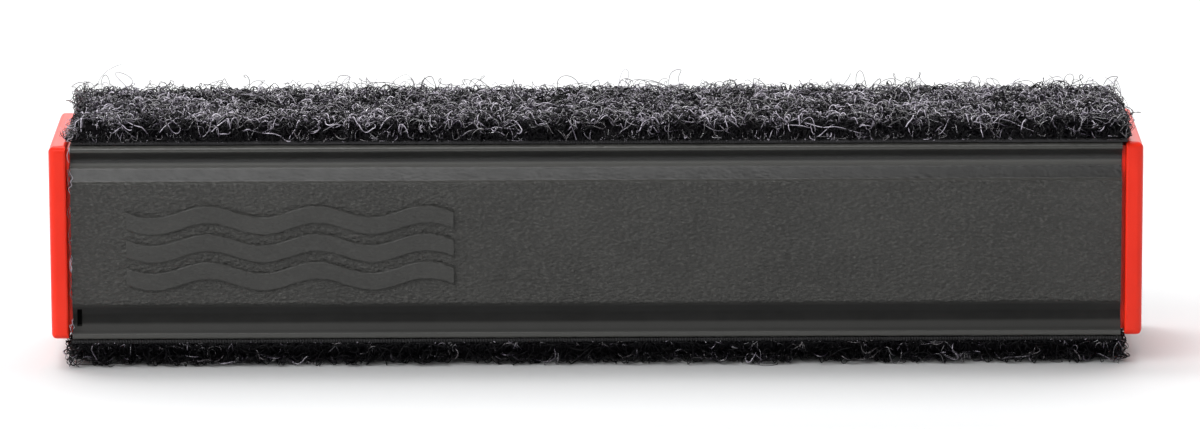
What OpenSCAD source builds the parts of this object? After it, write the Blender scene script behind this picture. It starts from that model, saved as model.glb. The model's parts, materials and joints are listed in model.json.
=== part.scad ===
// Magnetic glass cleaner: a slim bar with a loop-pile cleaning pad on its top and its bottom face.
// X runs along the bar, the front face looks along -Y, and +Z is up. The bar rests on its bottom
// pad at z = 0, and the origin is under the middle of the bar.

/* [Body] */
// Length of the bar over both end caps
bar_l = 130; // [110:1:160]
// Height of the body, between the two pads
body_h = 23.5; // [23:0.5:28]
// Depth of the body, from front to rear
body_d = 21.5; // [21:0.5:27]
// Thickness of the body's walls
wall = 2; // [1.8:0.1:2.2]
// How far the seam's tongue reaches into the other half
tongue_l = 1.5; // [1:0.1:2]

/* [Face profile] */
// Height of the rounded lip along each long edge
lip_h = 0.7; // [0.7:0.05:0.8]
// Height from the top edge to the raised band
groove_h = 4.65; // [4.4:0.05:5]
// Height from the bottom edge to the raised band
low_groove_h = 4.15; // [4:0.05:4.7]
// How far the raised band lies behind the lips
band_inset = 0.35; // [0.3:0.05:0.45]
// Angle between the upper lip's inner slope and the face
lip_slope = 52; // [45:1:54]
// Angle between the lower lip's inner slope and the face
low_lip_slope = 42; // [38:1:48]
// Angle between the ramp beside the band and the face
ramp_slope = 30; // [26:1:32]
// Radius of the cove at the bottom of a groove
cove_r = 1.3; // [0.8:0.1:1.6]
// Radius along the body's top edges
edge_r = 0.6; // [0.3:0.05:0.6]
// Radius along the body's bottom edges
low_edge_r = 0.3; // [0.2:0.05:0.6]
// Radius along the raised band's upper edge
band_r = 0.35; // [0.2:0.05:0.5]
// Radius along the raised band's lower edge
low_band_r = 1; // [0.3:0.1:1.4]

/* [Wave relief] */
// Length of the moulded wave ridges at the left end of the front face
relief_l = 39; // [24:1:42]
// Number of wave ridges
relief_count = 3; // [2:1:3]
// Distance between neighbouring ridges
relief_pitch = 3.4; // [3:0.1:3.6]
// Width of one ridge
ridge_w = 2.2; // [1:0.1:2.4]
// Swing of a ridge above and below its middle
ridge_swing = 0.7; // [0.4:0.1:1]

/* [End caps] */
// Thickness of a cap's outer plate
cap_t = 2.1; // [2:0.05:3]
// Width of the shadow gap between a cap's plate and the body
cap_gap = 0.45; // [0.3:0.05:0.8]
// Radius round the outer edge of a cap
cap_r = 0.9; // [0.5:0.1:1.2]
// Depth of the plug that holds a cap in the body
plug_l = 8; // [6:0.5:9]
// Wall thickness of the plug
plug_wall = 1.6; // [1.4:0.1:2]
// Side clearance between the plug and the body
plug_clear = 0.12; // [0.08:0.02:0.2]

/* [Pads] */
// Thickness of the bonding film
adhesive_t = 0.4; // [0.3:0.05:0.5]
// Thickness of the woven backing
backing_t = 0.5; // [0.4:0.05:0.8]
// Height of the loop pile
pile_t = 2.5; // [2:0.1:4]
// How far the bonding film stays back from the pad's edges
adhesive_inset = 0.8; // [0.4:0.1:1.5]

/* [Magnets] */
// Gap between neighbouring magnets
magnet_gap = 3; // [2:0.5:5]
// Thickness of one magnet
magnet_t = 8; // [6:0.5:8]
// Thickness of the steel plate between the tiers
yoke_t = 1.6; // [1:0.1:1.6]

/* [Hidden] */

shell_colour = "#333332";
cap_colour = "#e6362a";
seal_colour = "#4a4a4d";
cradle_colour = "#8d9196";
magnet_colour = "#c9ccd0";
steel_colour = "#9aa0a6";
foam_colour = "#55585c";
film_colour = "#18181a";
backing_colour = "#2d2c30";
pile_colour = "#232227";

// Segments in each rounded corner, and the small overlap that fuses solids
corner_steps = 6;
fuse = 0.2;

// Body
half_d = body_d / 2;
half_h = body_h / 2;
shell_l = bar_l - 2 * (cap_t + cap_gap);
end_x = shell_l / 2;
cavity_d = body_d - 2 * wall;
cavity_h = body_h - 2 * wall;
cavity_cut_d = 1.4;
cavity_cut_h = 3;
pad_t = adhesive_t + backing_t + pile_t;
body_z = pad_t + half_h;
seam_clear = 0.05;

// Grooves: how far from the long edge, and how deep, the lip's inner slope and the ramp would meet
lip_r = 0.2;
function tip_height(groove, slope) =
    (band_inset + groove * tan(ramp_slope) + lip_h * tan(slope))
    / (tan(ramp_slope) + tan(slope));
function tip_depth(groove, slope) = (tip_height(groove, slope) - lip_h) * tan(slope);
tip_h = tip_height(groove_h, lip_slope);
tip_d = tip_depth(groove_h, lip_slope);
low_tip_h = tip_height(low_groove_h, low_lip_slope);
low_tip_d = tip_depth(low_groove_h, low_lip_slope);

// Wave relief
relief_end = 6.55;
relief_x = relief_end + relief_l / 2 - end_x;
relief_z = -0.7;
relief_setback = 0.05;
relief_t = band_inset - relief_setback;
wave_l = relief_l / 3;
wave_steps = 48;

// A small slot beside the left cap for lifting it off
notch_x = 0.5;
notch_w = 0.6;
notch_h = 2.1;
notch_z = 1.5;
notch_depth = 1;

// Caps, plugs and seals
neck_inset_d = 1.5;
neck_inset_h = 0.6;
neck_clear = 0.05;
neck_l = cap_gap - neck_clear;
plug_x = -end_x - neck_clear;
outline_r = 0.9;
inner_edge_r = 0.35;
seal_w = 1.5;
seal_x = 3;
seal_depth = 0.8;
seal_clear = 0.03;
seal_side_clear = 0.05;

// Pads
pad_over_l = 0.15;
pad_inset_d = 0.1;
pad_l = shell_l + 2 * pad_over_l;
pad_d = body_d - 2 * pad_inset_d;
pile_r = 1;
pile_root_r = 0.1;

// Magnets, cradle, yoke and foam
stop_w = 1.2;
stop_d = 1.6;
stop_h = 8;
stop_clear = 0.2;
plug_room = 1.85;
cradle_l = shell_l - 2 * (plug_l + plug_room + stop_w + stop_clear);
cradle_clear = 0.2;
cradle_d = cavity_d - 2 * cradle_clear;
cradle_h = 2 * magnet_t + yoke_t;
cradle_cut_h = 2;
cradle_end = 1;
cradle_side = 2.3;
magnet_count = 4;
magnet_pitch = (cradle_l - 2 * cradle_end) / magnet_count;
magnet_l = magnet_pitch - magnet_gap;
magnet_d = cradle_d - 2 * cradle_side;
pocket_clear = 0.15;
yoke_clear = 0.02;
foam_clear = 0.05;
foam_end = 2;
foam_side = 0.5;
foam_t = (cavity_h - cradle_h) / 2 - foam_clear;
foam_l = cradle_l - 2 * foam_end;
foam_d = magnet_d - 2 * foam_side;

function unit(v) = v / norm(v);

// The arc of radius r that rounds the corner b between a and c
function round_corner(a, b, c, r) =
    let (
        u = unit(a - b),
        v = unit(c - b),
        half = acos(u * v) / 2,
        centre = b + unit(u + v) * r / sin(half),
        from = b + u * r / tan(half) - centre,
        to = b + v * r / tan(half) - centre,
        sweep = 180 - 2 * half
    )
    [for (i = [0:corner_steps])
        let (part = i / corner_steps)
        centre + (from * sin((1 - part) * sweep) + to * sin(part * sweep)) / sin(sweep)];

// An outline whose corners [x, y, r] are rounded by their own radius
function rounded(corners) =
    let (n = len(corners), at = [for (c = corners) [c[0], c[1]]])
    [for (i = [0:n - 1])
        each (corners[i][2] > 0
            ? round_corner(at[(i + n - 1) % n], at[i], at[(i + 1) % n], corners[i][2])
            : [at[i]])];

// Front half of the body's outline, as [depth, height, radius] from the seam round to the seam
front_corners = [
    [0, half_h, 0],
    [-half_d, half_h, edge_r],
    [-half_d, half_h - lip_h, lip_r],
    [tip_d - half_d, half_h - tip_h, cove_r],
    [band_inset - half_d, half_h - groove_h, band_r],
    [band_inset - half_d, low_groove_h - half_h, low_band_r],
    [low_tip_d - half_d, low_tip_h - half_h, cove_r],
    [-half_d, lip_h - half_h, lip_r],
    [-half_d, -half_h, low_edge_r],
    [0, -half_h, 0]
];

// Draws a section of depth and height as a prism of length l along X, centred on X
module along_x(l) {
    translate([-l / 2, 0, 0])
        rotate([90, 0, 90])
            linear_extrude(l)
                children();
}

module both_sides() {
    children();
    mirror([0, 0, 1])
        children();
}

// A rectangle d by h with its corners cut off
module eight_sided(d, h, cut_d, cut_h) {
    a = d / 2;
    b = h / 2;
    polygon([
        [a, cut_h - b], [a, b - cut_h],
        [a - cut_d, b], [cut_d - a, b],
        [-a, b - cut_h], [-a, cut_h - b],
        [cut_d - a, -b], [a - cut_d, -b]
    ]);
}

module cavity_section(inset = 0) {
    eight_sided(cavity_d - 2 * inset, cavity_h - 2 * inset, cavity_cut_d, cavity_cut_h);
}

// One half of the body, on the -Y side, with the ribs that stop the cradle sliding
module shell_half() {
    along_x(shell_l)
        difference() {
            polygon(rounded(front_corners));
            cavity_section();
        }
    stop_x = cradle_l / 2 + stop_clear + stop_w / 2;
    for (side = [-1, 1])
        translate([side * stop_x, (stop_d - fuse - cavity_d) / 2, 0])
            cube([stop_w, stop_d + fuse, stop_h], center = true);
}

// The strip of the seam's lap, from y = a to y = b, as thick as t from the inside of the wall
module seam_strip(a, b, t) {
    both_sides()
        along_x(shell_l)
            translate([a, cavity_h / 2])
                square([b - a, t]);
}

module wave_ridge() {
    steps = [0:wave_steps];
    function wave(x) = ridge_swing * sin(360 * x / wave_l);
    function along(i) = relief_l * (i / wave_steps - 0.5);
    rotate([90, 0, 0])
        linear_extrude(relief_t + fuse)
            polygon(concat(
                [for (i = steps) [along(i), wave(along(i)) + ridge_w / 2]],
                [for (i = steps) [along(wave_steps - i), wave(along(wave_steps - i)) - ridge_w / 2]]
            ));
}

module wave_relief() {
    for (i = [0:relief_count - 1])
        translate([
            relief_x,
            band_inset + fuse - half_d,
            relief_z + (i - (relief_count - 1) / 2) * relief_pitch
        ])
            wave_ridge();
}

module pry_notch() {
    translate([notch_x - end_x, -half_d - fuse, notch_z - half_h])
        cube([notch_w, low_tip_d + notch_depth, notch_h]);
}

module front_shell() {
    color(shell_colour)
        translate([0, 0, body_z])
            difference() {
                union() {
                    shell_half();
                    seam_strip(-fuse, tongue_l, wall / 2 - seam_clear);
                    wave_relief();
                }
                pry_notch();
            }
}

module rear_shell() {
    color(shell_colour)
        translate([0, 0, body_z])
            difference() {
                mirror([0, 1, 0])
                    shell_half();
                seam_strip(-fuse, tongue_l + seam_clear, wall / 2);
            }
}

// The outline of a plate's edge from x = 0 to x = t, rounded by r at x = 0 and by back_r at x = t
module plate_edge(t, w, r, back_r) {
    a = w / 2;
    polygon(rounded([[0, -a, r], [0, a, r], [t, a, back_r], [t, -a, back_r]]));
}

// A plate t thick, d deep and h high, with its outline's corners rounded by side_r
module rounded_plate(t, d, h, r, back_r, side_r) {
    a = d / 2;
    b = h / 2;
    intersection() {
        rotate([90, 0, 90])
            linear_extrude(t)
                polygon(rounded([
                    [a, b, side_r], [-a, b, side_r],
                    [-a, -b, side_r], [a, -b, side_r]
                ]));
        rotate([90, 0, 0])
            linear_extrude(d, center = true)
                plate_edge(t, h, r, back_r);
        linear_extrude(h, center = true)
            plate_edge(t, d, r, back_r);
    }
}

// The left cap: plate, set-back neck that bears on the body's end, and hollow plug with a groove
// for its seal
module end_cap() {
    neck_d = body_d - 2 * neck_inset_d;
    neck_h = body_h - 2 * neck_inset_h;
    color(cap_colour)
        translate([0, 0, body_z]) {
            translate([-bar_l / 2, 0, 0])
                rounded_plate(cap_t, body_d, body_h, cap_r, inner_edge_r, outline_r);
            translate([plug_x - (neck_l + fuse) / 2, 0, 0])
                cube([neck_l + fuse, neck_d, neck_h], center = true);
            translate([plug_x + (plug_l - fuse) / 2, 0, 0])
                difference() {
                    along_x(plug_l + fuse)
                        cavity_section(plug_clear);
                    translate([fuse, 0, 0])
                        along_x(plug_l + fuse)
                            cavity_section(plug_clear + plug_wall);
                    translate([seal_x - (plug_l + fuse) / 2, 0, 0])
                        seal_ring(seal_w + 2 * seal_side_clear, -fuse);
                }
        }
}

// A ring round the plug: l along X, with its outside inset from the body's bore
module seal_ring(l, inset) {
    along_x(l)
        difference() {
            cavity_section(inset);
            cavity_section(plug_clear + seal_depth);
        }
}

module cap_seal() {
    color(seal_colour)
        translate([plug_x - fuse + seal_x, 0, body_z])
            seal_ring(seal_w, seal_clear);
}

module end_cap_left() {
    end_cap();
}

module end_cap_right() {
    mirror([1, 0, 0])
        end_cap();
}

module cap_seal_left() {
    cap_seal();
}

module cap_seal_right() {
    mirror([1, 0, 0])
        cap_seal();
}

function magnet_x(i) = (i - (magnet_count + 1) / 2) * magnet_pitch;

module magnet_cradle() {
    pocket_l = magnet_l + 2 * pocket_clear;
    pocket_d = magnet_d + 2 * pocket_clear;
    color(cradle_colour)
        translate([0, 0, body_z])
            difference() {
                along_x(cradle_l)
                    eight_sided(cradle_d, cradle_h, cavity_cut_d, cradle_cut_h);
                for (i = [1:magnet_count])
                    translate([magnet_x(i), 0, 0])
                        cube([pocket_l, pocket_d, body_h], center = true);
                cube([bar_l, pocket_d, yoke_t], center = true);
            }
}

module yoke_plate() {
    color(steel_colour)
        translate([0, 0, body_z])
            cube([cradle_l, magnet_d, yoke_t - yoke_clear], center = true);
}

// Magnet i of the tier above (side 1) or below (side -1) the yoke plate
module magnet(i, side) {
    color(magnet_colour)
        translate([magnet_x(i), 0, body_z + side * (yoke_t + magnet_t) / 2])
            cube([magnet_l, magnet_d, magnet_t], center = true);
}

module foam_strip(side) {
    color(foam_colour)
        translate([0, 0, body_z + side * (cradle_h + foam_t + yoke_clear) / 2])
            cube([foam_l, foam_d, foam_t], center = true);
}

// The three layers of the top pad, measured up from the body's top face
module pad_adhesive() {
    color(film_colour)
        translate([0, 0, half_h])
            along_x(pad_l - 2 * adhesive_inset)
                translate([adhesive_inset - pad_d / 2, 0])
                    square([pad_d - 2 * adhesive_inset, adhesive_t]);
}

module pad_backing() {
    color(backing_colour)
        translate([0, 0, half_h + adhesive_t])
            along_x(pad_l)
                translate([-pad_d / 2, 0])
                    square([pad_d, backing_t]);
}

module pad_pile() {
    color(pile_colour)
        translate([0, 0, half_h + pad_t])
            rotate([0, 90, 0])
                rounded_plate(pile_t, pad_d, pad_l, pile_r, pile_root_r, pile_r);
}

module on_top() {
    translate([0, 0, body_z])
        children();
}

module underneath() {
    translate([0, 0, body_z])
        mirror([0, 0, 1])
            children();
}

front_shell();
rear_shell();
end_cap_left();
end_cap_right();
cap_seal_left();
cap_seal_right();
magnet_cradle();
yoke_plate();
magnet(1, 1);  // upper_magnet_1
magnet(2, 1);  // upper_magnet_2
magnet(3, 1);  // upper_magnet_3
magnet(4, 1);  // upper_magnet_4
magnet(1, -1);  // lower_magnet_1
magnet(2, -1);  // lower_magnet_2
magnet(3, -1);  // lower_magnet_3
magnet(4, -1);  // lower_magnet_4
foam_strip(1);  // upper_foam_strip
foam_strip(-1);  // lower_foam_strip
on_top() pad_adhesive();  // top_pad_adhesive
on_top() pad_backing();  // top_pad_backing
on_top() pad_pile();  // top_pad_pile
underneath() pad_adhesive();  // bottom_pad_adhesive
underneath() pad_backing();  // bottom_pad_backing
underneath() pad_pile();  // bottom_pad_pile
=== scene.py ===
"""Looks for the magnetic glass cleaner: materials for the CAD parts, and the pads' loop pile."""
import json
import math

import bpy
import numpy as np
from mathutils import Euler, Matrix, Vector, noise


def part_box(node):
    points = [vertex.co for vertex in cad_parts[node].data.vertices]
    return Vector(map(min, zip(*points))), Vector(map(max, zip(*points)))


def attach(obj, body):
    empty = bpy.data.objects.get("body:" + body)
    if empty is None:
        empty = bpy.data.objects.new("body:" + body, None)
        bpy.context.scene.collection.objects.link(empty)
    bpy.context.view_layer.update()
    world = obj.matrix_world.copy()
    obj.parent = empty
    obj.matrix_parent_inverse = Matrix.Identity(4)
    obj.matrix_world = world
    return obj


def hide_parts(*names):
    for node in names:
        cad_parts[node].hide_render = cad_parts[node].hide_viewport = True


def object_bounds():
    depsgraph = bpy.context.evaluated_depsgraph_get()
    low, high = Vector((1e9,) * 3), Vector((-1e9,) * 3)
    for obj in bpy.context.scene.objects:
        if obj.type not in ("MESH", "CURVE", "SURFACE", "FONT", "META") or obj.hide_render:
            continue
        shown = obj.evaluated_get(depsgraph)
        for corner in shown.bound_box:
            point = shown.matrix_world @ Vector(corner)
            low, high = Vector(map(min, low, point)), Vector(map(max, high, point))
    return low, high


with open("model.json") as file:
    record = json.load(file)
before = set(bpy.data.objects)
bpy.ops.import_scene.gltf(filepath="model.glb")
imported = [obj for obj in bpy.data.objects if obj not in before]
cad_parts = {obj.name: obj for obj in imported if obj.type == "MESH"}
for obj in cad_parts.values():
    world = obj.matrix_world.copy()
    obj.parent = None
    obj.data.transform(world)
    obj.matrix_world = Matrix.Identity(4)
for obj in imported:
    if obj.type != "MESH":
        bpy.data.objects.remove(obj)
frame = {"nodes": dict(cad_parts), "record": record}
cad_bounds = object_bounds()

MM = 0.001
NODES = frame["nodes"]
BAR = "bar"


# ---------------------------------------------------------------- places, all from the frame

shell_low, shell_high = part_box("front_shell")
FRONT_Y = shell_low.y
BODY_LOW_Z = shell_low.z
BODY_HIGH_Z = shell_high.z
BODY_MID_Z = (BODY_LOW_Z + BODY_HIGH_Z) / 2
BAR_LENGTH = cad_bounds[1].x - cad_bounds[0].x
BAND_LOW_Z = BODY_LOW_Z + 4.15 * MM    # the raised band ends here, above the lower groove
BAND_HIGH_Z = BODY_HIGH_Z - 4.65 * MM  # and here, below the upper groove
BAND_MID_Z = (BAND_LOW_Z + BAND_HIGH_Z) / 2
LIP_HEIGHT = 0.8 * MM
NOTCH_FLOOR_Y = FRONT_Y + 1.80 * MM    # only the notch is deeper than this, on the front shell
NOTCH_END_X = shell_low.x + 1.3 * MM


# ---------------------------------------------------------------- shader nodes

class Paint:
    """Builds one node material. Sizes of patterns and depths of relief are in millimetres, and
    places are in metres of the object's own space."""

    def __init__(self, name, color, roughness, metallic=0.0, **sockets):
        self.material = bpy.data.materials.new(name)
        self.material.use_nodes = True
        self.tree = self.material.node_tree
        self.shader = self.tree.nodes["Principled BSDF"]
        self.shader.inputs["Base Color"].default_value = (*color, 1)
        self.shader.inputs["Roughness"].default_value = roughness
        self.shader.inputs["Metallic"].default_value = metallic
        for socket, value in sockets.items():
            self.shader.inputs[socket.replace("_", " ")].default_value = value
        self.place = self.node("ShaderNodeTexCoord").outputs["Object"]

    def node(self, kind, **settings):
        made = self.tree.nodes.new(kind)
        for setting, value in settings.items():
            setattr(made, setting, value)
        return made

    def link(self, source, target):
        self.tree.links.new(source, target)

    def stretched(self, x, y, z):
        """The object's place with each axis scaled, so that a pattern can be longer one way."""
        mapping = self.node("ShaderNodeMapping")
        mapping.inputs["Scale"].default_value = (x, y, z)
        self.link(self.place, mapping.inputs["Vector"])
        return mapping.outputs["Vector"]

    def noise(self, size, detail=3.0, place=None):
        """Soft noise from 0 to 1 with features of about that size."""
        made = self.node("ShaderNodeTexNoise")
        made.inputs["Scale"].default_value = 1 / (size * MM)
        made.inputs["Detail"].default_value = detail
        self.link(place or self.place, made.inputs["Vector"])
        return made.outputs["Fac"]

    def cells(self, size, place=None):
        """Rounded cells of that size: low in the middle of a cell and high between cells."""
        made = self.node("ShaderNodeTexVoronoi", feature="SMOOTH_F1")
        made.inputs["Scale"].default_value = 1 / (size * MM)
        made.inputs["Smoothness"].default_value = 0.6
        self.link(place or self.place, made.inputs["Vector"])
        return made.outputs["Distance"]

    def maths(self, operation, a, b=0.0, clamp=False):
        made = self.node("ShaderNodeMath", operation=operation, use_clamp=clamp)
        for socket, value in zip(made.inputs, (a, b)):
            if isinstance(value, (int, float)):
                socket.default_value = value
            else:
                self.link(value, socket)
        return made.outputs["Value"]

    def plus(self, a, b):
        return self.maths("ADD", a, b)

    def times(self, a, b):
        return self.maths("MULTIPLY", a, b)

    def spread(self, value, low, high, from_low=0.3, from_high=0.7):
        """Remaps a value smoothly to low..high."""
        made = self.node("ShaderNodeMapRange", interpolation_type="SMOOTHSTEP")
        self.link(value, made.inputs["Value"])
        for name, number in (
            ("From Min", from_low), ("From Max", from_high), ("To Min", low), ("To Max", high)
        ):
            made.inputs[name].default_value = number
        return made.outputs["Result"]

    def mix(self, factor, a, b):
        """Mixes two colours by a factor from 0 to 1."""
        made = self.node("ShaderNodeMix", data_type="RGBA")
        self.link(factor, made.inputs["Factor"])
        for socket, value in ((made.inputs[6], a), (made.inputs[7], b)):
            if isinstance(value, tuple):
                socket.default_value = (*value, 1)
            else:
                self.link(value, socket)
        return made.outputs[2]

    def bump(self, height, depth, below=None):
        """Adds relief: height from 0 to 1 stands depth millimetres high."""
        made = self.node("ShaderNodeBump")
        made.inputs["Strength"].default_value = 1.0
        made.inputs["Distance"].default_value = depth * MM
        self.link(height, made.inputs["Height"])
        if below is not None:
            self.link(below, made.inputs["Normal"])
        return made.outputs["Normal"]

    def color(self, source):
        self.link(source, self.shader.inputs["Base Color"])

    def roughness(self, source):
        self.link(source, self.shader.inputs["Roughness"])

    def normal(self, source):
        self.link(source, self.shader.inputs["Normal"])

    def axis(self, name):
        """One coordinate of the object's place, in metres."""
        split = self.node("ShaderNodeSeparateXYZ")
        self.link(self.place, split.inputs["Vector"])
        return split.outputs[name]

    def away_from_z(self, z):
        """The height's distance from z, above or below it."""
        return self.maths("ABSOLUTE", self.maths("SUBTRACT", self.axis("Z"), z))

    def step(self, value, low, high, at, soft):
        """Goes from low to high where the value passes at, over an edge of twice soft."""
        return self.spread(value, low, high, at - soft, at + soft)


# ---------------------------------------------------------------- materials

def body_plastic():
    """Black moulded plastic: leathery on the band, smoother in the grooves and on the relief, with
    painted highlights along the lips and groove edges and painted shade in the notch.
    """
    paint = Paint("body_plastic", (0.014, 0.014, 0.014), 0.42, Specular_IOR_Level=0.46)
    height = paint.axis("Z")
    on_band = paint.step(
        paint.away_from_z(BAND_MID_Z), 1.0, 0.0, (BAND_HIGH_Z - BAND_LOW_Z) / 2, 0.3 * MM)
    off_relief = paint.step(paint.axis("Y"), 0.35, 1.0, FRONT_Y + 0.16 * MM, 0.05 * MM)
    grainy = paint.times(on_band, off_relief)
    on_lip = paint.step(
        paint.away_from_z(BODY_MID_Z), 0.0, 1.0, (BODY_HIGH_Z - BODY_LOW_Z) / 2 - LIP_HEIGHT, 0.25 * MM)
    off_lip = paint.spread(on_lip, 1.0, 0.0, 0.0, 1.0)
    in_notch = paint.step(paint.axis("Y"), 0.0, 1.0, NOTCH_FLOOR_Y, 0.05 * MM)
    in_notch = paint.times(in_notch, paint.step(paint.axis("X"), 1.0, 0.0, NOTCH_END_X, 0.1 * MM))
    in_notch = paint.times(
        in_notch, paint.step(paint.axis("Y"), 1.0, 0.0, NOTCH_FLOOR_Y + 0.9 * MM, 0.1 * MM))

    grain = paint.times(paint.cells(0.34, paint.stretched(0.62, 1, 1)), 0.7)
    bumps = paint.plus(grain, paint.times(paint.noise(0.13, 2), 0.45))
    bumps = paint.times(bumps, paint.plus(paint.times(grainy, 0.95), 0.05))
    paint.normal(paint.bump(bumps, 0.30, below=paint.bump(paint.noise(5, 3), 0.02)))

    cloud = paint.spread(paint.noise(9, 3), 0, 1)
    rough_base = paint.mix(cloud, (0.0288, 0.0285, 0.0263), (0.0361, 0.0357, 0.0329))
    fleck = paint.spread(paint.noise(0.24, 2, paint.stretched(0.55, 1, 1)), 0, 0.6, 0.45, 0.80)
    rough_base = paint.mix(paint.times(fleck, off_relief), rough_base, (0.096, 0.095, 0.088))
    smooth_base = paint.mix(cloud, (0.0065, 0.0065, 0.0060), (0.0095, 0.0095, 0.0088))
    # Painted highlight: the lips are painted paler, for the light on their rounded beads.
    smooth_base = paint.mix(on_lip, smooth_base, (0.052, 0.052, 0.048))
    # Painted highlights: soft lines paler than the rest, where the light catches the lips and groove
    # edges: (height, half width, how much).
    for z, half, highlight_strength in (
        (BODY_HIGH_Z, 0.50 * MM, 0.70),              # the upper lip's top edge
        (BODY_HIGH_Z - 2.62 * MM, 0.48 * MM, 0.80),  # the foot of the upper ramp
        (BAND_HIGH_Z + 0.10 * MM, 0.30 * MM, 0.70),  # the band's upper edge
        (BAND_LOW_Z - 0.10 * MM, 0.30 * MM, 0.15),   # the band's lower edge
        (BODY_LOW_Z + 1.40 * MM, 0.60 * MM, 0.25),   # the lower lip's inner slope
    ):
        highlight_line = paint.spread(paint.away_from_z(z), highlight_strength, 0.0, 0.3 * half, half)
        smooth_base = paint.mix(highlight_line, smooth_base, (0.095, 0.094, 0.088))
    base = paint.mix(on_band, smooth_base, rough_base)
    # Painted shade: the notch is painted near black, for the shade inside it.
    paint.color(paint.mix(in_notch, base, (0.0004, 0.0004, 0.0004)))

    below_band = paint.times(paint.step(height, 0.34, 0.0, BAND_LOW_Z, 0.4 * MM), off_lip)
    under_lip = paint.times(paint.step(height, 0.0, 0.20, BODY_HIGH_Z - 1.8 * MM, 0.4 * MM), off_lip)
    low_cove = paint.spread(
        paint.away_from_z(BODY_LOW_Z + 2.35 * MM), 0.35, 0.0, 0.4 * MM, 0.9 * MM)
    dull = paint.plus(paint.spread(paint.noise(1.6, 4), 0.21, 0.27), paint.times(grainy, 0.24))
    dull = paint.plus(paint.plus(dull, paint.plus(below_band, under_lip)), low_cove)
    paint.roughness(paint.maths("ADD", dull, paint.times(in_notch, 0.45), clamp=True))
    return paint.material


def cap_plastic():
    """Glossy red plastic with faint flow marks and slow changes of gloss."""
    paint = Paint("cap_plastic", (0.90, 0.022, 0.004), 0.24, Specular_IOR_Level=0.24)
    flow = paint.noise(7, 2)
    paint.color(paint.mix(paint.spread(flow, 0, 1), (0.83, 0.022, 0.005), (0.88, 0.028, 0.008)))
    paint.roughness(paint.spread(paint.noise(10, 2), 0.28, 0.32, 0.25, 0.75))
    paint.normal(paint.bump(paint.noise(6, 2), 0.012))
    return paint.material


def seal_rubber():
    """Matte grey-black rubber."""
    paint = Paint("seal_rubber", (0.03, 0.03, 0.032), 0.75)
    cloud = paint.spread(paint.noise(0.8), 0, 1)
    paint.color(paint.mix(cloud, (0.022, 0.022, 0.024), (0.042, 0.042, 0.045)))
    paint.normal(paint.bump(paint.noise(0.2, 4), 0.02))
    return paint.material


def cradle_plastic():
    """Plain grey moulded plastic."""
    paint = Paint("cradle_plastic", (0.26, 0.28, 0.30), 0.5)
    cloud = paint.spread(paint.noise(5), 0, 1)
    paint.color(paint.mix(cloud, (0.22, 0.24, 0.26), (0.30, 0.32, 0.34)))
    paint.normal(paint.bump(paint.noise(0.3, 4), 0.02))
    return paint.material


def yoke_steel():
    """Steel brushed along the bar."""
    paint = Paint("yoke_steel", (0.45, 0.46, 0.48), 0.35, metallic=1.0)
    brushed = paint.noise(0.12, 3, paint.stretched(0.04, 1, 1))
    paint.color(paint.mix(paint.spread(brushed, 0, 1), (0.38, 0.39, 0.41), (0.52, 0.53, 0.55)))
    paint.roughness(paint.spread(brushed, 0.28, 0.44))
    return paint.material


def magnet_nickel():
    """Nickel plating with small dull patches."""
    paint = Paint("magnet_nickel", (0.62, 0.61, 0.59), 0.2, metallic=1.0)
    cloud = paint.spread(paint.noise(2.5), 0, 1)
    paint.color(paint.mix(cloud, (0.56, 0.55, 0.53), (0.66, 0.65, 0.63)))
    paint.roughness(paint.spread(paint.noise(0.7, 5), 0.14, 0.34))
    return paint.material


def foam():
    """Fine dark closed-cell foam."""
    paint = Paint("foam", (0.05, 0.05, 0.055), 0.9)
    cells = paint.cells(0.3)
    edges = paint.spread(cells, 0, 1, 0.1, 0.5)
    paint.color(paint.mix(edges, (0.03, 0.03, 0.034), (0.07, 0.07, 0.075)))
    paint.normal(paint.bump(cells, 0.1))
    return paint.material


def bonding_film():
    """Thin dark film, a little uneven."""
    paint = Paint("bonding_film", (0.006, 0.006, 0.007), 0.5)
    paint.roughness(paint.spread(paint.noise(0.5, 4), 0.4, 0.65))
    paint.normal(paint.bump(paint.noise(0.25, 4), 0.03))
    return paint.material


def pad_backing():
    """Tight woven backing: threads along and across, a third of a millimetre apart."""
    paint = Paint("pad_backing", (0.03, 0.028, 0.034), 0.7)
    pitch = 0.33 * MM

    def thread(name):
        turn = paint.times(paint.axis(name), 2 * math.pi / pitch)
        return paint.plus(paint.times(paint.maths("SINE", turn), 0.5), 0.5)

    weave = paint.maths("MAXIMUM", thread("X"), thread("Y"))
    paint.color(paint.mix(weave, (0.002, 0.002, 0.0025), (0.014, 0.013, 0.015)))
    paint.normal(paint.bump(weave, 0.08))
    return paint.material


def pile_root():
    """The matted foot of the pile, deep between the loops, near black: partly the pile's own dark
    colour and partly painted shade of its depths.
    """
    paint = Paint("pile_root", (0.003, 0.003, 0.004), 0.9, Specular_IOR_Level=0.1)
    tangle = paint.noise(0.35, 5)
    cloud = paint.spread(tangle, 0, 1)
    paint.color(paint.mix(cloud, (0.0006, 0.0005, 0.0007), (0.004, 0.003, 0.005)))
    paint.normal(paint.bump(tangle, 0.25))
    return paint.material


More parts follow.
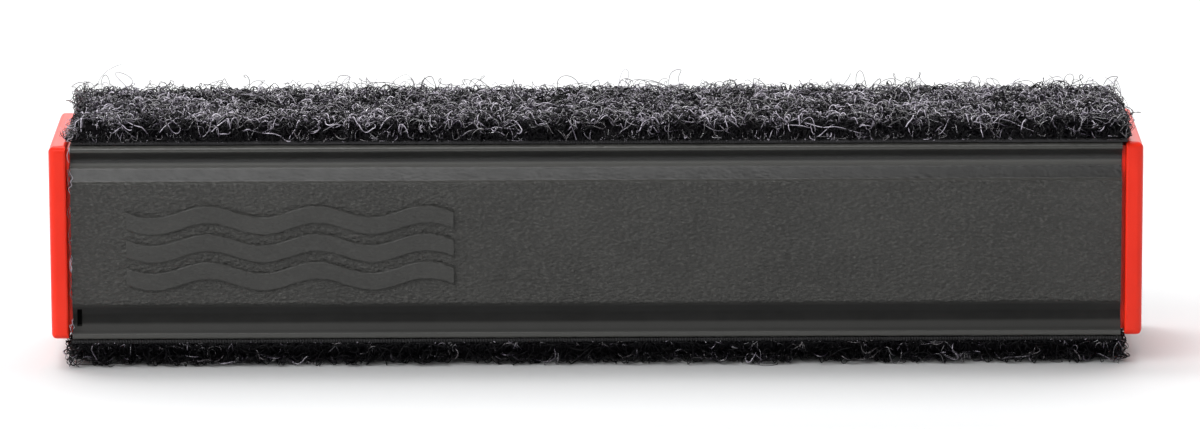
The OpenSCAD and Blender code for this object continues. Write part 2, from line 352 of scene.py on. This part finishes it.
def pile_fibres():
    """Nylon fibres of slightly different shade and gloss. Each fibre takes one of them whole.
    The values are (name, colour, roughness, shine)."""
    shades = (
        ("pile_fibre_black", (0.002, 0.0017, 0.0027), 0.34, 0.15),
        ("pile_fibre_violet", (0.078, 0.064, 0.092), 0.17, 1.0),
        ("pile_fibre_slate", (0.040, 0.036, 0.046), 0.12, 1.0),
        ("pile_fibre_brown", (0.050, 0.041, 0.048), 0.22, 0.9),
        ("pile_fibre_pale", (0.430, 0.392, 0.470), 0.15, 1.0),
    )
    made = []
    for name, color, roughness, shine in shades:
        paint = Paint(name, color, roughness, Specular_IOR_Level=shine, IOR=1.5 + 0.25 * shine)
        paint.tree.nodes.remove(paint.place.node)  # plain values only
        made.append(paint.material)
    return made


def wear(node, material):
    """Gives a CAD node its material."""
    mesh = NODES[node].data
    if mesh.materials:
        for index in range(len(mesh.materials)):
            NODES[node].material_slots[index].material = material
    else:
        mesh.materials.append(material)


MATERIALS = {
    "body_plastic": body_plastic(),
    "cap_plastic": cap_plastic(),
    "seal_rubber": seal_rubber(),
    "cradle_plastic": cradle_plastic(),
    "yoke_steel": yoke_steel(),
    "magnet_nickel": magnet_nickel(),
    "foam": foam(),
    "bonding_film": bonding_film(),
    "pad_backing": pad_backing(),
}
for part in frame["record"]["subparts"]:
    if part["material_slot"] in MATERIALS:
        wear(part["node"], MATERIALS[part["material_slot"]])


# ---------------------------------------------------------------- smooth shading of the CAD parts

SHARP_ANGLE = math.radians(28)   # faces that meet at less than this are shaded as one
RELIEF_ANGLE = math.radians(40)  # the relief's outer edges are sharper than this


def shape_group(name):
    """A node group that takes a shape and gives one, with its two ends."""
    group = bpy.data.node_groups.new(name, "GeometryNodeTree")
    for way in ("INPUT", "OUTPUT"):
        group.interface.new_socket("Geometry", in_out=way, socket_type="NodeSocketGeometry")
    return group, group.nodes.new("NodeGroupInput"), group.nodes.new("NodeGroupOutput")


def soft_shading():
    """Node group that joins a CAD mesh's faces and shades them smooth over its blunt edges."""
    group, start, end = shape_group("soft_shading")
    join = group.nodes.new("GeometryNodeMergeByDistance")
    faces = group.nodes.new("GeometryNodeSetShadeSmooth")
    edges = group.nodes.new("GeometryNodeSetShadeSmooth")
    angle = group.nodes.new("GeometryNodeInputMeshEdgeAngle")
    below = group.nodes.new("FunctionNodeCompare")
    join.inputs["Distance"].default_value = 0.002 * MM
    faces.domain = "FACE"
    edges.domain = "EDGE"
    below.operation = "LESS_THAN"
    below.inputs[1].default_value = SHARP_ANGLE
    link = group.links.new
    link(start.outputs[0], join.inputs["Geometry"])
    link(join.outputs["Geometry"], faces.inputs["Geometry"])
    link(faces.outputs["Geometry"], edges.inputs["Geometry"])
    link(angle.outputs["Unsigned Angle"], below.inputs[0])
    link(below.outputs["Result"], edges.inputs["Shade Smooth"])
    link(edges.outputs["Geometry"], end.inputs[0])
    return group


def relief_edges():
    """Node group that gives a bevel weight to the outer edges of the moulded relief."""
    group, start, end = shape_group("relief_edges")
    link = group.links.new
    store = group.nodes.new("GeometryNodeStoreNamedAttribute")
    angle = group.nodes.new("GeometryNodeInputMeshEdgeAngle")
    place = group.nodes.new("GeometryNodeInputPosition")
    split = group.nodes.new("ShaderNodeSeparateXYZ")
    link(place.outputs[0], split.inputs[0])
    tests = (
        (angle.outputs["Unsigned Angle"], "GREATER_THAN", RELIEF_ANGLE),
        (split.outputs["Y"], "LESS_THAN", FRONT_Y + 0.2 * MM),
        (split.outputs["Z"], "GREATER_THAN", BAND_LOW_Z + 0.4 * MM),
        (split.outputs["Z"], "LESS_THAN", BAND_HIGH_Z - 0.4 * MM),
    )
    both = None
    for source, operation, limit in tests:
        test = group.nodes.new("FunctionNodeCompare")
        test.operation = operation
        link(source, test.inputs[0])
        test.inputs[1].default_value = limit
        if both is None:
            both = test.outputs["Result"]
        else:
            join = group.nodes.new("FunctionNodeBooleanMath")
            join.operation = "AND"
            link(both, join.inputs[0])
            link(test.outputs["Result"], join.inputs[1])
            both = join.outputs[0]
    store.data_type = "FLOAT"
    store.domain = "EDGE"
    store.inputs["Name"].default_value = "bevel_weight_edge"
    link(start.outputs[0], store.inputs["Geometry"])
    link(both, store.inputs["Value"])
    link(store.outputs["Geometry"], end.inputs[0])
    return group


SOFT_SHADING = soft_shading()
for name, node in NODES.items():
    node.modifiers.new("soft_shading", "NODES").node_group = SOFT_SHADING
    if name == "front_shell":
        node.modifiers.new("relief_edges", "NODES").node_group = relief_edges()
        bevel = node.modifiers.new("soft_relief", "BEVEL")
        bevel.width = 0.16 * MM
        bevel.segments = 2
        bevel.limit_method = "WEIGHT"
    weighted = node.modifiers.new("even_normals", "WEIGHTED_NORMAL")
    weighted.mode = "FACE_AREA"
    weighted.keep_sharp = True


# ---------------------------------------------------------------- meshes

def mesh_piece(name, points, faces, materials):
    """A new mesh object from points and faces, all smooth."""
    mesh = bpy.data.meshes.new(name)
    mesh.from_pydata(points, [], faces)
    for material in materials:
        mesh.materials.append(material)
    mesh.shade_smooth()
    piece = bpy.data.objects.new(name, mesh)
    bpy.context.scene.collection.objects.link(piece)
    return piece


def unit(vectors):
    """The vectors at length one."""
    return vectors / np.maximum(np.linalg.norm(vectors, axis=-1, keepdims=True), 1e-12)


TUBE_SIDES = 3


def tubes(name, paths, radii, shades, materials):
    """Closed tubes along paths of shape (fibres, points, 3), as one mesh. shades says which of
    the materials each tube takes."""
    count, length, _ = paths.shape
    sides = TUBE_SIDES
    tangent = unit(np.gradient(paths, axis=1))
    side = np.zeros_like(paths)
    side[:, 0] = unit(np.cross(tangent[:, 0], tangent[:, 0][:, [1, 2, 0]] + (0.3, 0.5, 0.7)))
    for i in range(1, length):
        carried = side[:, i - 1]
        along = np.sum(carried * tangent[:, i], axis=1, keepdims=True)
        side[:, i] = unit(carried - along * tangent[:, i])
    other = np.cross(tangent, side)
    taper = np.ones(length)
    taper[[0, -1]] = 0.5
    around = np.arange(sides) * 2 * np.pi / sides
    ring = (
        side[:, :, None] * np.cos(around)[None, None, :, None]
        + other[:, :, None] * np.sin(around)[None, None, :, None]
    )
    points = paths[:, :, None] + ring * (radii[:, None] * taper)[:, :, None, None]

    number = np.arange(count * length * sides).reshape(count, length, sides)
    turned = np.roll(number, -1, axis=2)
    quads = np.stack([number[:, :-1], turned[:, :-1], turned[:, 1:], number[:, 1:]], axis=-1)
    quads = quads.reshape(-1, 4)
    ends = np.concatenate([number[:, 0, ::-1], number[:, -1]])
    mesh = bpy.data.meshes.new(name)
    mesh.vertices.add(points.size // 3)
    mesh.vertices.foreach_set("co", points.astype(np.float32).ravel())
    mesh.loops.add(quads.size + ends.size)
    corners = np.concatenate([quads.ravel(), ends.ravel()])
    mesh.loops.foreach_set("vertex_index", corners.astype(np.int32))
    mesh.polygons.add(len(quads) + len(ends))
    starts = np.concatenate([np.arange(len(quads)) * 4, quads.size + np.arange(len(ends)) * sides])
    mesh.polygons.foreach_set("loop_start", starts.astype(np.int32))
    face_shades = np.concatenate([np.repeat(shades, (length - 1) * sides), shades, shades])
    mesh.polygons.foreach_set("material_index", face_shades.astype(np.int32))
    mesh.polygons.foreach_set("use_smooth", np.ones(len(quads) + len(ends), bool))
    mesh.update(calc_edges=True)
    for material in materials:
        mesh.materials.append(material)
    piece = bpy.data.objects.new(name, mesh)
    bpy.context.scene.collection.objects.link(piece)
    return piece


# ---------------------------------------------------------------- loop pile

ROOT_SINK = 0.32 * MM    # how deep the pile's roots sit in the backing
MAX_TRIANGLES = 190_000  # in one mesh piece


class Pad:
    """One pad, in its own space: x and y along its backing, z out of it, all in metres.
    ends is how far the pile's left and right ends are pushed along x."""

    def __init__(self, name, side, turn_deg, ends=(0.0, 0.0)):
        self.name = name
        self.side = side
        low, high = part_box(name + "_pile")
        self.length = high.x - low.x + ends[1] - ends[0]
        self.middle = (ends[0] + ends[1]) / 2
        self.depth = high.y - low.y
        self.height = high.z - low.z + ROOT_SINK
        self.root_z = (low.z if side > 0 else high.z) - side * ROOT_SINK
        self.turn = math.radians(turn_deg)

    def to_frame(self, points):
        """From the pad's own space to the row frame."""
        c, s = math.cos(self.turn), math.sin(self.turn)
        x, y, z = points[..., 0], points[..., 1], points[..., 2]
        turned = (self.middle + x * c - y * s, x * s + y * c, self.root_z + self.side * z)
        return np.stack(turned, axis=-1)

    def distance(self, points, height, bulge, radius):
        """Signed distance to a block with rounded edges, open at its foot, and the way out of it."""
        half = np.array([self.length / 2 + bulge, self.depth / 2 + bulge, height]) - radius
        signs = np.sign(points)
        signs[..., 2] = 1
        over = points * signs - half
        out = np.maximum(over, 0)
        reach = np.linalg.norm(out, axis=-1)
        nearest = over.max(axis=-1, keepdims=True) == over
        outward = np.where(reach[..., None] > 1e-9, unit(out), nearest) * signs
        return reach + np.minimum(over.max(axis=-1), 0) - radius, outward


def grow(pad, rng, count, steps, step, curl, height, bulge, radius, layer, lift=0.0):
    """Curly fibres that wander within a layer under the pad's surface, as (count, steps, 3) paths.
    curl is the middle radius of their curls, and lift how far their middles rise above the surface."""
    found = []
    while sum(len(f) for f in found) < count:
        tries = rng.random((count * 2, 3))
        reach = (pad.length + 2 * bulge, pad.depth + 2 * bulge, height)
        tries = (tries - (0.5, 0.5, 0)) * reach
        gap, _ = pad.distance(tries, height, bulge, radius)
        found.append(tries[(gap < 0) & (gap > -layer)])
    place = np.concatenate(found)[:count]
    heading = unit(rng.normal(size=(count, 3)))
    tightness = 1 / (curl * np.exp(rng.normal(0, 0.30, count)))
    lean = rng.uniform(-0.1, 1.15, count)
    swing = rng.uniform(1.0, 4.0, count)
    phase = rng.uniform(0, 2 * np.pi, count)
    spin = unit(rng.normal(size=(count, 3)))
    path = np.empty((count, steps, 3))
    for i in range(steps):
        path[:, i] = place
        gap, outward = pad.distance(place, height, bulge, radius)
        spin = spin + rng.normal(0, 0.22, (count, 3))
        spin = unit(spin - np.sum(spin * heading, axis=1, keepdims=True) * heading)
        bend = tightness * (lean + 0.85 * np.sin(swing * 2 * np.pi * i / steps + phase))
        angle = (step * bend)[:, None]
        heading = heading * np.cos(angle) + np.cross(spin, heading) * np.sin(angle)
        push = np.clip(-gap / layer - 1, 0, 1.5) - np.clip(gap / layer + 0.15, 0, 1.5)
        heading = unit(heading + 0.6 * push[:, None] * outward)
        place = place + heading * step
    share = np.linspace(0, 1, steps)
    dive = 1 - np.clip(np.minimum(share, 1 - share) / 0.14, 0, 1)
    rise = lift * np.sin(np.pi * share) ** 2
    _, outward = pad.distance(path, height, bulge, radius)
    offset = rise[None, :] * rng.random((count, 1)) - dive[None, :] * layer
    return path + outward * offset[..., None]


def fibre_pieces(pad, name, rng, paths, thickness, shades, floor=0.0, fade=True):
    """Meshes of fibres, cut into neighbouring sections that stay under the mesh size limit. With fade,
    fibres near the root take the deep shades, a painted shade that darkens the pile towards its root,
    and those near the surface the given ones."""
    count = len(paths)
    radii = thickness / 2 * np.exp(rng.normal(0, 0.14, count))
    # Painted shade: the lower a fibre sits in the pile, the likelier it takes the nearly black deep
    # shades.
    level = paths[..., 2].mean(axis=1) / pad.height
    shown = rng.random(count) < (np.clip((level - 0.20) / 0.50, 0.04, 1) if fade else 1)
    picks = np.where(
        shown, rng.choice(len(FIBRES), count, p=shades), rng.choice(len(FIBRES), count, p=SHADES_DEEP))
    order = np.argsort(paths[:, 0, 0])
    triangles_each = 2 * TUBE_SIDES * (paths.shape[1] - 1) + 2
    sections = math.ceil(count * triangles_each / MAX_TRIANGLES)
    ceiling = np.inf if pad.side > 0 else pad.height - thickness * 0.6
    paths[..., 2] = np.clip(paths[..., 2], floor, ceiling)
    paths[:, 1:-1] = (paths[:, :-2] + 2 * paths[:, 1:-1] + paths[:, 2:]) / 4
    for number, chosen in enumerate(np.array_split(order, sections), 1):
        piece = tubes(
            f"{pad.name}_{name}_{number}", pad.to_frame(paths[chosen]), radii[chosen],
            picks[chosen], FIBRES
        )
        if pad.side < 0:
            piece.data.flip_normals()
        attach(piece, BAR)


def arches(pad, rng, count, low, high, rise, span, steps=26):
    """Loose loops that stand out of the pad, from roots between two corners of its space."""
    root = low + rng.random((count, 3)) * (np.array(high) - low)
    _, outward = pad.distance(root, pad.height - 0.1 * MM, 0.1 * MM, 1.5 * MM)
    outward = unit(outward + rng.normal(0, 0.35, (count, 3)))
    along = unit(np.cross(outward, rng.normal(size=(count, 3))))
    across = np.cross(outward, along)
    rise = rise * np.exp(rng.normal(0, 0.4, (count, 1, 1)))
    span = span * np.exp(rng.normal(0, 0.4, (count, 1, 1)))
    t = np.linspace(0, 1, steps)[None, :, None]
    turns = rng.uniform(0.3, 1.6, (count, 1, 1)) * 2 * np.pi
    phase = rng.uniform(0, 2 * np.pi, (count, 1, 1))
    curl = span * 0.28
    swell = np.sin(np.pi * t)
    sweep = span * (t - 0.5) + curl * np.sin(turns * t + phase) * swell
    path = root[:, None] + along[:, None] * sweep
    path = path + outward[:, None] * (rise * swell - 0.3 * MM)
    return path + across[:, None] * curl * np.cos(turns * t + phase) * swell


def woven_backing(pad):
    """The backing under one pad's pile, with the ends of its threads along both long edges."""
    node = pad.name + "_backing"
    low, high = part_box(node)
    half_x, half_y = (high.x - low.x) / 2, (high.y - low.y) / 2
    thick = high.z - low.z
    thread = 0.31 * MM
    columns = int(2 * half_x / thread * 5)
    t = np.linspace(-1, 1, columns)
    bead = 0.045 * MM * np.abs(np.sin(np.pi * t * half_x / thread))
    sway = 0.03 * MM * np.sin(t * 37) + 0.02 * MM * np.sin(t * 91 + 1)
    # The rounded edge: (how far in, in half millimetres, and the height as a share of the thickness).
    profile = ((-0.10, 0.46), (-0.02, 0.30), (0.0, 0.0), (-0.02, -0.30), (-0.10, -0.46))
    rings = []
    for side in (-1, 1):
        for inset, level in profile[::-side]:
            y = side * (half_y + inset * MM * 0.5 - 0.05 * MM + bead) + sway
            z = np.full(columns, level * thick - thick / 2)
            rings.append(np.stack([t * half_x, y, z], axis=-1))
    sections = np.stack(rings, axis=1)
    ring = sections.shape[1]
    number = np.arange(columns * ring).reshape(columns, ring)
    turned = np.roll(number, -1, axis=1)
    faces = np.stack([number[:-1], turned[:-1], turned[1:], number[1:]], axis=-1)
    faces = faces.reshape(-1, 4).tolist() + [number[0, ::-1].tolist(), number[-1].tolist()]
    points = pad.to_frame(sections.reshape(-1, 3))
    piece = mesh_piece(node + "_cloth", points, faces, [MATERIALS["pad_backing"]])
    if pad.side < 0:
        piece.data.flip_normals()
    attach(piece, BAR)
    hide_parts(node)


def pile_foot(pad, height, radius):
    """The closed, uneven block of matted pile that the loops stand in."""
    columns, rows, wrap = 190, 34, 5
    coarse, fine = 900, 2300  # lumps to the metre
    half_x, half_y = pad.length / 2 - 0.3 * MM, pad.depth / 2 - 0.35 * MM
    across = np.linspace(-1, 1, rows + 2 * wrap)
    along = np.linspace(-1, 1, columns)
    points = []
    for u in along:
        for v in across:
            x, y = u * half_x, v * half_y
            edge = min(half_x - abs(x), half_y - abs(y))
            drop = radius - math.sqrt(max(radius**2 - max(radius - edge, 0) ** 2, 0))
            lump = noise.noise(Vector((x, y, pad.side)) * coarse)
            lump += 0.6 * noise.noise(Vector((x, y, 3)) * fine)
            points.append((x, y, max(height - drop + lump * 0.16 * MM, 0.02 * MM)))
    top = len(points)
    wide = len(across)
    points += [(x, y, 0.0) for x, y, _ in points]
    faces = []
    for i in range(columns - 1):
        for j in range(wide - 1):
            a = i * wide + j
            faces.append((a, a + wide, a + wide + 1, a + 1))
            faces.append((top + a, top + a + 1, top + a + wide + 1, top + a + wide))
    rim = [i * wide for i in range(columns)] + [(columns - 1) * wide + j for j in range(1, wide)]
    rim += [i * wide + wide - 1 for i in range(columns - 2, -1, -1)] + list(range(wide - 2, 0, -1))
    for a, b in zip(rim, rim[1:] + rim[:1]):
        faces.append((b, a, top + a, top + b))
    piece = mesh_piece(pad.name + "_pile_foot", pad.to_frame(np.array(points)), faces, [PILE_ROOT])
    if pad.side < 0:
        piece.data.flip_normals()
    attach(piece, BAR)
    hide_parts(pad.name + "_pile")


FIBRES = pile_fibres()
PILE_ROOT = pile_root()
FIBRE_THICKNESS = 0.14 * MM

# Shares of the five fibre materials, in the order of pile_fibres.
# Painted shade: the deep shares are nearly all black, the pile's own black fibres made darker still for
# the shade deep in the pile.
SHADES_DEEP = (0.95, 0.02, 0.01, 0.02, 0.0)
SHADES_TOP = (0.35, 0.22, 0.12, 0.09, 0.22)
SHADES_STRAY = (0.30, 0.25, 0.20, 0.15, 0.10)
# Painted shade: the bottom pad has the same pile as the top one, given darker shares for the shade
# under the body.
SHADES_LOW = (0.80, 0.07, 0.06, 0.06, 0.01)
SHADES_FRAYED = (0.10, 0.10, 0.10, 0.40, 0.30)
SHADES_THREAD = (0.50, 0.12, 0.12, 0.16, 0.10)
# Painted shade: the fringe at the pile's root is mostly black, for the shade low on the pad's edges.
SHADES_FRINGE = (0.80, 0.06, 0.06, 0.06, 0.02)
# Painted shade: the bottom pad's fringe is darker still, for the shade under the body.
SHADES_LOW_FRINGE = (0.90, 0.03, 0.04, 0.03, 0.0)


def thread_ends(pad, rng, count):
    """Short cut ends of the backing's threads, which stand out along its front and rear edges."""
    depth = pad.depth / 2
    side = np.where(rng.random(count) < 0.5, -1, 1)
    x = rng.uniform(-0.5, 0.5, count) * pad.length
    z = rng.uniform(-0.16, 0.30, count) * MM
    steps = np.linspace(0, 1, 5)[None, :]
    lean = rng.normal(0, 0.16 * MM, (count, 1))
    drop = rng.uniform(-0.25, 0.05, (count, 1)) * MM
    out = rng.uniform(0.02, 0.16, (count, 1)) * MM
    paths = np.stack([
        x[:, None] + lean * steps,
        side[:, None] * (depth - 0.12 * MM + (out + 0.12 * MM) * np.sin(steps * 1.9)),
        z[:, None] + drop * steps**2,
    ], axis=-1)
    fibre_pieces(
        pad, "thread_ends", rng, paths, FIBRE_THICKNESS, SHADES_THREAD, floor=-0.2 * MM, fade=False)


def fringe(pad, rng, count, shades):
    """Loops of the lowest rows of pile, which hang over the edge of the backing all round it."""
    half_x, half_y = pad.length / 2, pad.depth / 2
    t = np.linspace(0, 1, 15)[None, :]
    swell = np.sin(np.pi * t)
    on_end = rng.random(count) < half_y / (half_x + half_y)
    way = np.where(rng.random(count) < 0.5, -1.0, 1.0)[:, None]
    span = 0.8 * MM * np.exp(rng.normal(0, 0.45, (count, 1)))
    turn = rng.uniform(2.0, 8.0, (count, 1))
    phase = rng.uniform(0, 2 * np.pi, (count, 1))
    reach = np.where(on_end, half_y, half_x)[:, None]
    along = reach * rng.uniform(-1, 1, (count, 1))
    along = along + span * (t - 0.5 + 0.3 * np.sin(turn * t + phase) * swell)
    out = np.where(on_end, half_x, half_y)[:, None] - 0.15 * MM
    out = way * (out + (0.18 + rng.uniform(0.05, 0.35, (count, 1))) * MM * np.minimum(swell * 1.6, 1))
    top = rng.uniform(0.35, 1.3, (count, 1)) * MM
    low = rng.uniform(-0.16, 0.28, (count, 1)) * MM
    z = top + (low - top) * swell + 0.08 * MM * np.sin(turn * t * 1.7 + phase) * swell
    x = np.where(on_end[:, None], out, along)
    y = np.where(on_end[:, None], along, out)
    paths = np.stack([x, y, z], axis=-1)
    fibre_pieces(
        pad, "fringe", rng, paths, FIBRE_THICKNESS * 0.85, shades, floor=-0.16 * MM, fade=False)


def make_pad(name, side, seed, tangle, loops, arcs, strays, turn_deg, shades, bulge, radius,
             fringe_shades, ends=(0.0, 0.0)):
    """One pad's backing and pile, from the matted foot up to the loosest strays. side is 1 for
    the top pad and -1 for the bottom one."""
    pad = Pad(name, side, turn_deg, ends)
    rng = np.random.default_rng(seed)
    share = 1.0
    woven_backing(pad)
    pile_foot(pad, pad.height - 1.25 * MM, 1.3 * MM)
    shape = dict(height=pad.height - 0.55 * MM, bulge=bulge, radius=radius)
    inner = dict(height=pad.height - 1.0 * MM, bulge=-0.3 * MM, radius=radius * 0.8)
    tangle_paths = grow(
        pad, rng, int(tangle * share), steps=18, step=0.28 * MM, curl=0.8 * MM, layer=0.5 * MM, **inner
    )
    # The tangle takes the deep shades: painted shade deep in the pile.
    fibre_pieces(pad, "tangle", rng, tangle_paths, FIBRE_THICKNESS, SHADES_DEEP)
    loop_paths = grow(
        pad, rng, int(loops * share), steps=33, step=0.24 * MM, curl=0.80 * MM, layer=0.5 * MM, **shape
    )
    fibre_pieces(pad, "loops", rng, loop_paths, FIBRE_THICKNESS, shades)
    arc_paths = grow(
        pad, rng, int(arcs * share), steps=26, step=0.32 * MM, curl=1.7 * MM, layer=0.3 * MM,
        lift=0.5 * MM, **shape
    )
    fibre_pieces(pad, "arcs", rng, arc_paths, FIBRE_THICKNESS * 0.85, shades)
    half_x, half_y = pad.length / 2, pad.depth / 2
    stray_paths = arches(
        pad, rng, strays, (-half_x, -half_y, 0.5 * pad.height),
        (half_x, half_y, pad.height - 0.3 * MM), rise=0.75 * MM, span=1.7 * MM
    )
    fibre_pieces(pad, "strays", rng, stray_paths, FIBRE_THICKNESS * 0.66, SHADES_STRAY)
    fringe(pad, rng, int(1500 * share), fringe_shades)
    thread_ends(pad, rng, int(800 * share))
    return pad, rng


def tuft(pad, rng, name, count, middle, reach, rise, span, thin=0.62, shades=None):
    """A loose clump of loops around a place in the pad's space."""
    middle, reach = np.array(middle), np.array(reach)
    paths = arches(pad, rng, count, middle - reach, middle + reach, rise, span)
    fibre_pieces(
        pad, name, rng, paths, FIBRE_THICKNESS * thin, shades or SHADES_STRAY, fade=shades is None)


def end_tufts(top, top_rng, bottom, bottom_rng):
    """The clumps and wisps at the ends of both pads."""
    end_x, edge_y = top.length / 2, top.depth / 2
    high = top.height
    tuft(top, top_rng, "rear_loops", 330, (0, 0.72 * edge_y, high - 0.6 * MM),
         (end_x, 0.3 * edge_y, 0.2 * MM), 1.05 * MM, 2.1 * MM, thin=0.52)
    tuft(top, top_rng, "left_tuft", 70, (-end_x + 0.4 * MM, 0.3 * edge_y, high - 0.6 * MM),
         (0.6 * MM, 0.5 * edge_y, 0.7 * MM), 0.8 * MM, 1.3 * MM)
    tuft(top, top_rng, "left_corner", 90, (-end_x - 0.1 * MM, -0.75 * edge_y, 0.22 * high),
         (0.3 * MM, 0.28 * edge_y, 0.25 * high), 0.7 * MM, 1.0 * MM, thin=0.45, shades=SHADES_FRAYED)
    tuft(top, top_rng, "right_wisps", 9, (end_x - 2.5 * MM, 0.3 * edge_y, high - 0.6 * MM),
         (2.5 * MM, 0.6 * edge_y, 0.3 * MM), 2.2 * MM, 3.2 * MM, thin=0.4)
    tuft(top, top_rng, "right_corner", 36, (end_x - 0.2 * MM, -0.6 * edge_y, 0.5 * high),
         (0.4 * MM, 0.4 * edge_y, 0.4 * high), 0.7 * MM, 1.2 * MM, thin=0.5)
    for side, name in ((-1, "left_loops"), (1, "right_loops")):
        tuft(bottom, bottom_rng, name, 40, (side * (end_x - 0.2 * MM), -0.5 * edge_y, 0.5 * high),
             (0.5 * MM, 0.5 * edge_y, 0.35 * high), 0.75 * MM, 1.2 * MM)


LINT_FIBRES = [0, 3, 3, 4]  # black, brown twice as often, and pale


def seam_lint(rng, count=30, steps=16):
    """Fine lint caught along the seam between the left cap and the body."""
    t = np.linspace(0, 1, steps)[None, :]
    z = rng.uniform(BODY_LOW_Z + 0.5 * MM, BODY_HIGH_Z - 0.5 * MM, (count, 1))
    x = shell_low.x + rng.uniform(-0.10, 0.12, (count, 1)) * MM
    run = rng.uniform(0.5, 2.2, (count, 1)) * MM
    sway = rng.uniform(0.10, 0.32, (count, 1)) * MM
    turn = rng.uniform(1.5, 7.0, (count, 1))
    phase = rng.uniform(0, 2 * np.pi, (count, 1))
    swell = np.sin(np.pi * t)
    paths = np.stack([
        x + sway * np.sin(turn * t + phase) * swell,
        FRONT_Y + 0.10 * MM - (0.16 * MM + 0.5 * sway) * swell,
        z + run * (t - 0.5) + 0.4 * sway * np.cos(turn * t * 1.3 + phase),
    ], axis=-1)
    radii = FIBRE_THICKNESS * 0.25 * np.exp(rng.normal(0, 0.2, count))
    piece = tubes("seam_lint", paths, radii, rng.choice(LINT_FIBRES, count), FIBRES)
    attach(piece, BAR)


seam_lint(np.random.default_rng(5))
end_tufts(
    *make_pad("top_pad", 1, 11, tangle=4500, loops=3700, arcs=650, strays=900, turn_deg=-0.22,
              shades=SHADES_TOP, bulge=0.15 * MM, radius=1.7 * MM, fringe_shades=SHADES_FRINGE,
              ends=(0.45 * MM, 0.50 * MM)),
    *make_pad("bottom_pad", -1, 23, tangle=2600, loops=2600, arcs=300, strays=160, turn_deg=0.0,
              shades=SHADES_LOW, bulge=0.35 * MM, radius=0.6 * MM, fringe_shades=SHADES_LOW_FRINGE),
)


# ---------------------------------------------------------------- stage, light and camera

def stage_floor():
    """A pale floor that runs back far enough to fill the view. It glows past the lights' reach."""
    half, reach = 6.0, 8.0
    glow_from, glow_full = 0.65, 1.15  # metres from the object
    piece = mesh_piece(
        "studio_floor", [(-half, -reach, 0), (half, -reach, 0), (half, reach, 0), (-half, reach, 0)],
        [(0, 1, 2, 3)], [],
    )
    paint = Paint("studio_floor", (0.76, 0.765, 0.77), 0.7)
    paint.color(paint.mix(paint.noise(60, 2), (0.755, 0.76, 0.766), (0.765, 0.77, 0.776)))
    away = paint.node("ShaderNodeVectorMath", operation="LENGTH")
    paint.link(paint.place, away.inputs[0])
    glow = paint.spread(away.outputs["Value"], 0.0, 1.0, glow_from, glow_full)
    paint.shader.inputs["Emission Color"].default_value = (1, 1, 1, 1)
    paint.link(glow, paint.shader.inputs["Emission Strength"])
    piece.data.materials.append(paint.material)


def softbox(name, place, aim, width, height, power):
    """A white area light, unseen by the camera."""
    light = bpy.data.lights.new(name, "AREA")
    light.shape = "RECTANGLE"
    light.size, light.size_y = width, height
    light.energy = power
    lamp = bpy.data.objects.new(name, light)
    lamp.location = place
    lamp.rotation_mode = "QUATERNION"
    lamp.rotation_quaternion = (Vector(aim) - Vector(place)).to_track_quat("-Z", "Y")
    lamp.visible_camera = False
    bpy.context.scene.collection.objects.link(lamp)


def sky(scene):
    """White at the horizon, like a lit backdrop, and dim above it."""
    world = bpy.data.worlds.new("studio")
    world.use_nodes = True
    tree = world.node_tree
    place = tree.nodes.new("ShaderNodeTexCoord")
    split = tree.nodes.new("ShaderNodeSeparateXYZ")
    fade = tree.nodes.new("ShaderNodeMapRange")
    fade.interpolation_type = "SMOOTHSTEP"
    fade.inputs["From Min"].default_value = math.sin(math.radians(6))
    fade.inputs["From Max"].default_value = math.sin(math.radians(18))
    fade.inputs["To Min"].default_value = 1.0
    fade.inputs["To Max"].default_value = 0.1
    background = tree.nodes["Background"]
    tree.links.new(place.outputs["Generated"], split.inputs["Vector"])
    tree.links.new(split.outputs["Z"], fade.inputs["Value"])
    tree.links.new(fade.outputs["Result"], background.inputs["Color"])
    background.inputs["Strength"].default_value = 0.45
    scene.world = world


def studio():
    """The sky, the softboxes and the floor."""
    scene = bpy.context.scene
    scene.view_settings.view_transform = "Standard"
    sky(scene)
    target = (0, 0, 0.01)
    softbox("front_softbox", (-0.50, -0.60, 0.80), target, 1.5, 0.48, 9.0)
    softbox("front_card", (-0.10, -1.13, 0.42), target, 2.4, 0.75, 1.0)
    softbox("top_softbox", (0, 0.30, 0.88), target, 1.4, 0.62, 8.8)
    softbox("top_key", (-0.25, 0.22, 1.0), target, 0.22, 0.22, 2.0)
    softbox("back_softbox", (0, 1.15, 0.5), target, 2.2, 0.7, 8.0)
    softbox("left_softbox", (-1.0, -0.45, 0.45), target, 0.5, 0.6, 1.8)
    stage_floor()


CAMERA_ELEVATION = math.radians(12.0)
CAMERA_ROLL = math.radians(-0.24)
CAMERA_DISTANCE = 6.7 * BAR_LENGTH
CAMERA_LENS = 220  # millimetres, on a sensor 36 mm wide


def camera():
    """Looks at the front face from a little above. The aim is a little above the body's middle."""
    data = bpy.data.cameras.new("camera")
    data.lens = CAMERA_LENS
    data.sensor_width = 36
    data.clip_start, data.clip_end = 0.01, 50
    holder = bpy.data.objects.new("camera", data)
    aim = Vector((0.46 * MM, FRONT_Y, BODY_MID_Z + 3.28 * MM))
    back = Vector((0, -math.cos(CAMERA_ELEVATION), math.sin(CAMERA_ELEVATION)))
    holder.location = aim + back * CAMERA_DISTANCE
    level = (-back).to_track_quat("-Z", "Y")
    holder.rotation_mode = "QUATERNION"
    holder.rotation_quaternion = level @ Euler((0, 0, CAMERA_ROLL)).to_quaternion()
    bpy.context.scene.collection.objects.link(holder)
    bpy.context.scene.camera = holder


studio()
camera()
